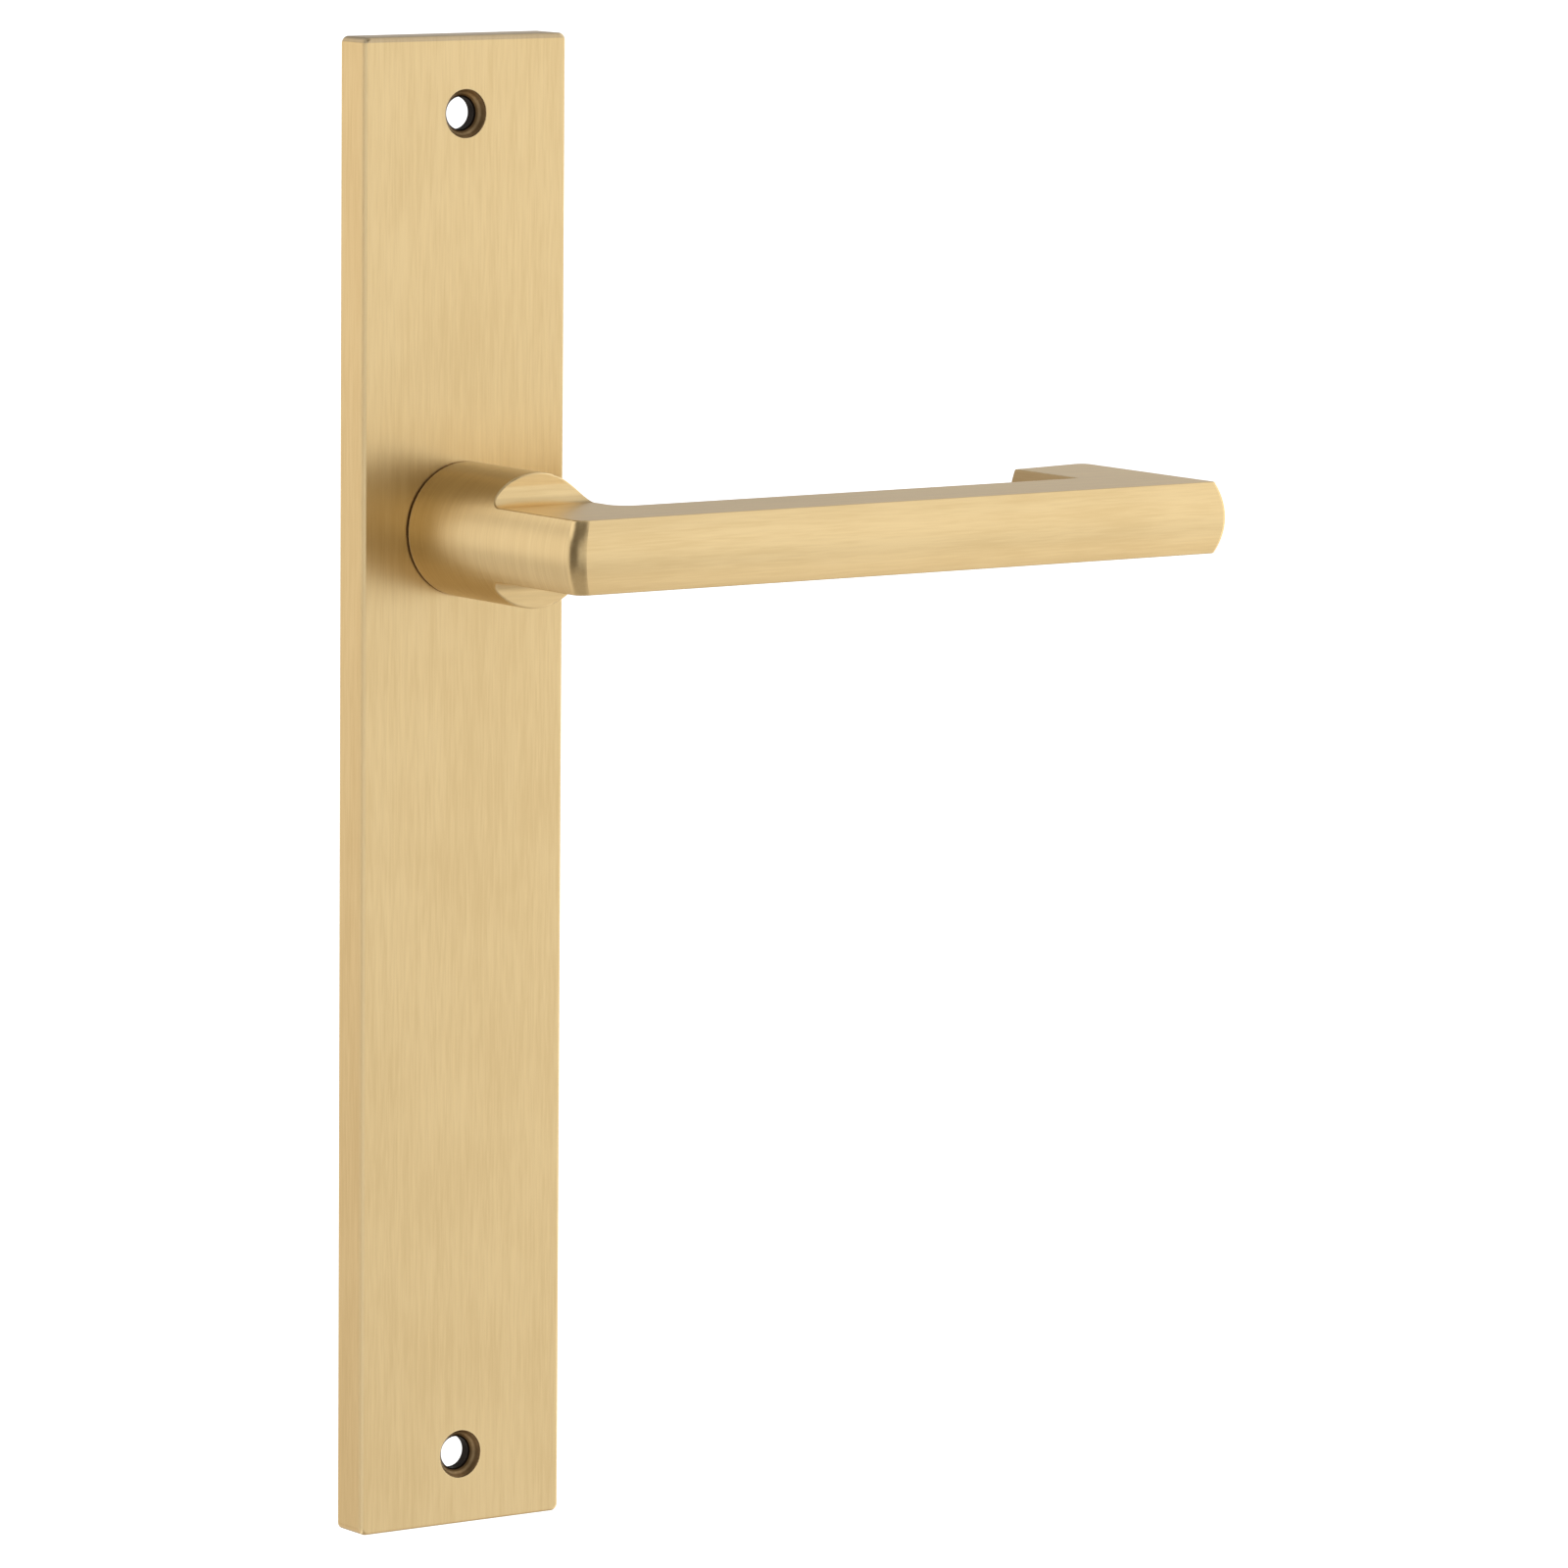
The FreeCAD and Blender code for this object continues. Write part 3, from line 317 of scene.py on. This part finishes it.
def brass_finish(finish, streak, axis, rubbed=0.0, painted_shades=(), rough_and_painted_places=()):
    """Satin brass, streaked along an axis, with edges that are rubbed and painted lighter, partly a
    painted highlight.

    painted_shades holds (mask, factor) of places painted darker as painted shade,
    rough_and_painted_places holds (mask, colour, roughness) of those that are left unbrushed, with
    painted shade in the screw holes and a painted highlight on their rings.
    """
    cloud = finish.noise(finish.place, CLOUDS, 3.0)
    tone = finish.plus(finish.times(streak, STREAK_TONE), finish.times(cloud, CLOUD_TONE))
    colour = finish.blend(finish.ramp(tone, *TONE_RANGE), BRASS_DARK, BRASS_LIGHT)
    # painted highlight: edges take a lighter colour, partly real wear and partly a painted highlight
    edge = finish.math("MAXIMUM", finish.times(finish.edges(WEAR_AND_HIGHLIGHT), EDGE_SHARE), rubbed)
    colour = finish.blend(edge, colour, BRASS_EDGE_WEAR_AND_HIGHLIGHT)
    # painted shade: each mask multiplies the colour darker
    for mask, factor in painted_shades:
        colour = finish.blend(mask, colour, factor, "MULTIPLY")
    rough = finish.plus(finish.times(streak, STREAK_ROUGH), SATIN)
    rough = finish.plus(rough, finish.times(edge, EDGE_ROUGH))
    depth = streak
    pits = finish.noise(finish.place, CAST_PITS, 4.0)
    # the cast hollow is rough brass; the screw holes' places carry painted shade and a painted
    # highlight
    for mask, place_colour, place_rough in rough_and_painted_places:
        speckled = finish.blend(pits, place_colour, scuffed(place_colour, PIT_SHADE, 0.0))
        colour = finish.blend(mask, colour, speckled)
        rough = finish.mix(mask, rough, finish.plus(finish.times(pits, PIT_ROUGH), place_rough))
        depth = finish.mix(mask, depth, finish.times(pits, PIT_DEPTH))
    finish.set("Base Color", colour)
    finish.set("Roughness", rough)
    finish.set("Metallic", finish.mix(edge, 1.0, EDGE_METALLIC))
    finish.set("Tangent", finish.vector("CROSS_PRODUCT", finish.world_normal(), axis))
    finish.bump(depth, BRUSH_DEPTH)


def hole_masks(finish, x, y, z):
    """The screw holes' cones and bores, painted darker as painted shade, and the lighter rings in
    the cones, a painted highlight.
    """
    from_middle = finish.absolute(finish.minus(z, HOLES_MIDDLE))
    around_hole = finish.distance(x, finish.minus(from_middle, HOLES_APART / 2))
    below_front = finish.ramp(y, PLATE[0].y + SKIN, PLATE[0].y + SINK_FADE)
    # painted shade: the cones' mask, which darkens them
    sink = finish.times(finish.ramp(around_hole, SINK_RADIUS + FADE, SINK_RADIUS), below_front)
    from_ring = finish.absolute(finish.minus(around_hole, RING_RADIUS))
    # painted highlight: a lighter ring in each cone
    ring = finish.times(sink, finish.ramp(from_ring, RING_REACH, RING_CORE))
    # painted shade: near-black over the bores and a little up the cones
    bore_shade = finish.ramp(around_hole, BORE_RADIUS + 2 * BORE_SPREAD, BORE_RADIUS + BORE_SPREAD)
    return sink, ring, bore_shade


def hollow_mask(finish, y, from_side, from_end):
    """The hollow back inside the plate's rim."""
    inner = finish.ramp(finish.smaller(from_side, from_end), RIM - 2 * FADE, RIM - FADE)
    off_back = finish.ramp(y, -SKIN, -FADE)
    off_front = finish.ramp(y, HOLLOW_FLOOR - 2 * FADE, HOLLOW_FLOOR - FADE)
    return finish.times(finish.times(inner, off_back), off_front)


def plate_brass():
    finish = Finish("satin_brass_plate", anisotropy=ANISOTROPY)
    x, y, z = finish.split(finish.place)
    on_ends = finish.faces_axis(2)
    streak = finish.mix(on_ends, brushed(finish, "z"), brushed(finish, "x"))
    axis = finish.choose(on_ends, (0.0, 0.0, 1.0), (1.0, 0.0, 0.0))
    from_side = finish.minus(PLATE[1].x, finish.absolute(x))
    from_end = finish.minus(PLATE[1].z - MIDDLE, finish.absolute(finish.minus(z, MIDDLE)))
    sink, ring, bore_shade = hole_masks(finish, x, y, z)
    hollow = hollow_mask(finish, y, from_side, from_end)
    # the hollow is cast brass; the cones and bores carry painted shade, the rings a painted
    # highlight
    rough_and_painted_places = ((hollow, BRASS_CAST, CAST_ROUGHNESS), (sink, BRASS_SINK_SHADE, SINK_ROUGHNESS),
                    (ring, BRASS_RING_HIGHLIGHT, SINK_ROUGHNESS), (bore_shade, BRASS_BORE_SHADE, CAST_ROUGHNESS))
    # painted highlight: the band along the plate's front edges is painted lighter and rougher,
    # partly rubbed wear
    edge_reach = finish.ramp(from_side, FRONT_EDGE, 0.7 * FRONT_EDGE)
    side_reach = finish.ramp(y, PLATE[0].y + 1.7 * FRONT_EDGE, PLATE[0].y + 0.5 * FRONT_EDGE)
    # painted shade: a band along the plate's upper edge, painted darker and cooler
    upper_band_shade = finish.ramp(z, PLATE[1].z - TOP_BAND, PLATE[1].z - 0.8 * TOP_BAND)
    # painted shade: the plate's sides and upper edge are painted darker
    painted_shades = ((finish.faces_axis(0), SIDE_SHADE), (upper_band_shade, TOP_SHADE))
    brass_finish(finish, streak, axis, finish.times(edge_reach, side_reach), painted_shades, rough_and_painted_places)
    return finish.material


def neck_mask(finish, x, z):
    """1 on the neck's round wall: at its radius, facing outwards, and not past it along the grip."""
    at_radius = finish.ramp(finish.distance(x, z), NECK_RADIUS - 3 * FADE, NECK_RADIUS - FADE)
    before_grip = finish.ramp(x, NECK_RADIUS + 2 * FADE, NECK_RADIUS + FADE)
    outwards = finish.vector("NORMALIZE", finish.vector("MULTIPLY", finish.place, (1.0, 0.0, 1.0)))
    radial = finish.vector("DOT_PRODUCT", outwards, finish.normal)
    return finish.times(finish.times(at_radius, before_grip), finish.ramp(radial, 0.88, 0.96))


def lever_brass():
    finish = Finish("satin_brass_lever", anisotropy=ANISOTROPY)
    x, _, z = finish.split(finish.place)
    facing_x, _, facing_z = finish.split(finish.normal)
    on_neck = neck_mask(finish, x, z)
    at_end = finish.faces_axis(0)
    streak = finish.mix(at_end, brushed(finish, "x"), brushed(finish, "y"))
    streak = finish.mix(on_neck, streak, brushed(finish, "xz"))
    round_neck = finish.vector("CROSS_PRODUCT", finish.world_normal(), (0.0, 1.0, 0.0))
    axis = finish.choose(at_end, (1.0, 0.0, 0.0), (0.0, 1.0, 0.0))
    axis = finish.choose(on_neck, axis, round_neck)
    past_grip = finish.ramp(x, LEG_STARTS, LEG_STARTS + LEG_FADE)
    # painted shade: the return leg's inner side painted darker
    inside_leg_shade = finish.times(finish.ramp(facing_x, -0.5, -0.8), past_grip)
    # painted shade: the top of the neck painted darker
    neck_top_shade = finish.times(on_neck, finish.ramp(facing_z, 0.86, 0.97))
    painted_shades = ((inside_leg_shade, INSIDE_LEG_SHADE), (neck_top_shade, NECK_TOP_SHADE))
    brass_finish(finish, streak, axis, painted_shades=painted_shades)
    return finish.material


def in_sockets(finish):
    """1 inside the hexagon sockets of the cover's screws, which are painted dark as painted shade.
    """
    x, _, z = finish.split(finish.place)
    across = finish.minus(finish.absolute(x), SCREWS[1].x - SCREW_HEAD)
    up = finish.minus(finish.absolute(z), SCREWS[1].z - SCREW_HEAD)
    return finish.ramp(finish.distance(across, up), SOCKET + SOCKET_FADE, SOCKET)


def steel(name, light, dark, roughness, along="", grain=PLAIN_GRAIN, sockets=False):
    """Plain steel: drawn, rolled or turned along some axes, lighter where its edges are rubbed."""
    finish = Finish(name)
    lines = finish.grain(finish.place, drawn_scale(grain, DRAWN_OUT * grain, along), 3.0)
    cloud = finish.noise(finish.place, STEEL_CLOUDS, 4.0)
    tone = finish.mix(0.5, lines, cloud)
    colour = finish.blend(finish.ramp(tone, *STEEL_TONES), dark, light)
    edge = finish.edges(STEEL_WEAR)
    colour = finish.blend(finish.times(edge, STEEL_WEAR_SHARE), colour, scuffed(light, 1.25, 0.05))
    # painted shade: the sockets' insides painted near-black
    if sockets:
        colour = finish.blend(in_sockets(finish), colour, SOCKET_SHADE)
    finish.set("Base Color", colour)
    rough = finish.plus(finish.times(tone, 0.16), roughness)
    finish.set("Roughness", finish.minus(rough, finish.times(edge, 0.05)))
    finish.bump(lines, STEEL_DEPTH)
    return finish.material


def nylon(name, low, high):
    """Moulded plastic, faintly pitted and paler on its edges."""
    finish = Finish(name, metallic=0.0)
    pits = finish.noise(finish.place, MOULD_PITS, 3.0)
    cloud = finish.noise(finish.place, MOULD_CLOUDS, 3.0)
    colour = finish.blend(cloud, low, high)
    edge = finish.times(finish.edges(MOULD_WEAR), MOULD_WEAR_SHARE)
    finish.set("Base Color", finish.blend(edge, colour, scuffed(high, 1.2, 0.03)))
    finish.set("Roughness", finish.mix(pits, *MOULD_ROUGHNESS))
    finish.bump(pits, MOULD_DEPTH)
    return finish.material


def dress():
    """Give every CAD node its finish."""
    turned = {"along": "xz", "grain": TURNED_GRAIN}
    finishes = (
        (plate_brass(), ("backplate",)),
        (lever_brass(), ("lever",)),
        (steel("zinc_sheet", ZINC_LIGHT, ZINC_DARK, 0.28, "z"), ("cover_plate", "rear_washer")),
        (steel("zinc_drawn_cup", ZINC_LIGHT, ZINC_DARK, 0.32, "y"), ("spring_housing",)),
        (steel("zinc_bar", ZINC_LIGHT, ZINC_DARK, 0.26, "y"), ("spindle",)),
        (steel("yellow_zinc", YELLOW_LIGHT, YELLOW_DARK, 0.24, sockets=True, **turned),
         ("cover_screws",)),
        (steel("ground_steel", HARD_LIGHT, HARD_DARK, 0.24, "x"), ("drive_cam",)),
        (steel("ground_pins", HARD_LIGHT, HARD_DARK, 0.20, **turned),
         ("rest_stop_pin", "end_stop_pin", "spring_anchor_pin")),
        (steel("spring_wire", WIRE_LIGHT, WIRE_DARK, 0.24, "xz", WIRE_GRAIN),
         ("return_spring", "wave_washer")),
        (steel("black_oxide", OXIDE_LIGHT, OXIDE_DARK, 0.34), ("grub_screw", "retaining_ring")),
        (nylon("black_nylon", BLACK_LOW, BLACK_HIGH), ("front_bush", "rear_bush")),
        (nylon("brown_nylon", BROWN_LOW, BROWN_HIGH), ("gap_ring",)),
    )
    for material, names in finishes:
        for name in names:
            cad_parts[name].material_slots[0].material = material


def add_camera():
    back = Vector((-sin(AZIMUTH) * cos(ELEVATION), -cos(AZIMUTH) * cos(ELEVATION), sin(ELEVATION)))
    right = Vector((cos(AZIMUTH), -sin(AZIMUTH), 0.0))
    up = back.cross(right)
    turned_right = cos(ROLL) * right + sin(ROLL) * up
    turned_up = cos(ROLL) * up - sin(ROLL) * right
    data = bpy.data.cameras.new("camera")
    data.angle = FIELD_OF_VIEW
    data.clip_end = CLIP_END
    camera = bpy.data.objects.new("camera", data)
    bpy.context.scene.collection.objects.link(camera)
    axes = Matrix((turned_right, turned_up, back)).transposed()
    camera.matrix_world = Matrix.Translation(AIM + DISTANCE * back) @ axes.to_4x4()
    bpy.context.scene.camera = camera


def soft_light(graph, around, rise, light):
    """What one light adds in a direction, fading towards its borders."""
    azimuth, elevation, half_width, half_height, brightness, warmth = light
    inside, outside = 1.0 - LIGHT_FADE, 1.0 + LIGHT_FADE
    above = graph.absolute(graph.minus(rise, elevation))
    shown = graph.ramp(above, half_height * outside, half_height * inside)
    if half_width < ALL_ROUND:
        apart = graph.absolute(graph.minus(around, azimuth))
        apart = graph.smaller(apart, graph.minus(FULL_TURN, apart))
        shown = graph.times(shown, graph.ramp(apart, half_width * outside, half_width * inside))
    colour = [brightness * (1.0 + warmth * (channel - 1.0)) for channel in WARM]
    return graph.node("VectorMath", colour, None, None, shown, operation="SCALE").outputs["Vector"]


def add_world():
    """A dim room with soft lights, worked out for each direction."""
    world = bpy.data.worlds.new("studio")
    world.use_nodes = True
    graph = Graph(world.node_tree)
    x, y, z = graph.split(graph.node("TexCoord").outputs["Generated"])
    around = graph.math("DEGREES", graph.math("ARCTAN2", x, graph.times(y, -1.0)))
    rise = graph.math("DEGREES", graph.math("ARCSINE", z))
    glow = ROOM
    for light in LIGHTS:
        glow = graph.vector("ADD", glow, soft_light(graph, around, rise, light))
    graph.put(world.node_tree.nodes["Background"].inputs["Color"], glow)
    bpy.context.scene.world = world


def pale_floor():
    finish = Finish("pale_floor", metallic=0.0)
    cloud = finish.noise(finish.place, FLOOR_CLOUDS, 2.0)
    finish.set("Base Color", finish.blend(cloud, FLOOR_DARK, FLOOR_LIGHT))
    finish.set("Roughness", FLOOR_ROUGHNESS)
    finish.set("Emission Color", WHITE)
    finish.set("Emission Strength", FLOOR_GLOW)
    return finish.material


def add_floor():
    mesh = bpy.data.meshes.new("floor")
    shape = bmesh.new()
    bmesh.ops.create_grid(shape, x_segments=4, y_segments=4, size=FLOOR_HALF)
    shape.to_mesh(mesh)
    shape.free()
    mesh.materials.append(pale_floor())
    floor = bpy.data.objects.new("floor", mesh)
    floor.location = (0.0, 0.0, CAD_BOUNDS[0].z - FLOOR_DROP)
    floor.visible_glossy = False    # the metal mirrors the studio's own light instead
    bpy.context.scene.collection.objects.link(floor)


add_camera()
add_world()
add_floor()
bpy.context.scene.view_settings.view_transform = "Standard"
dress()
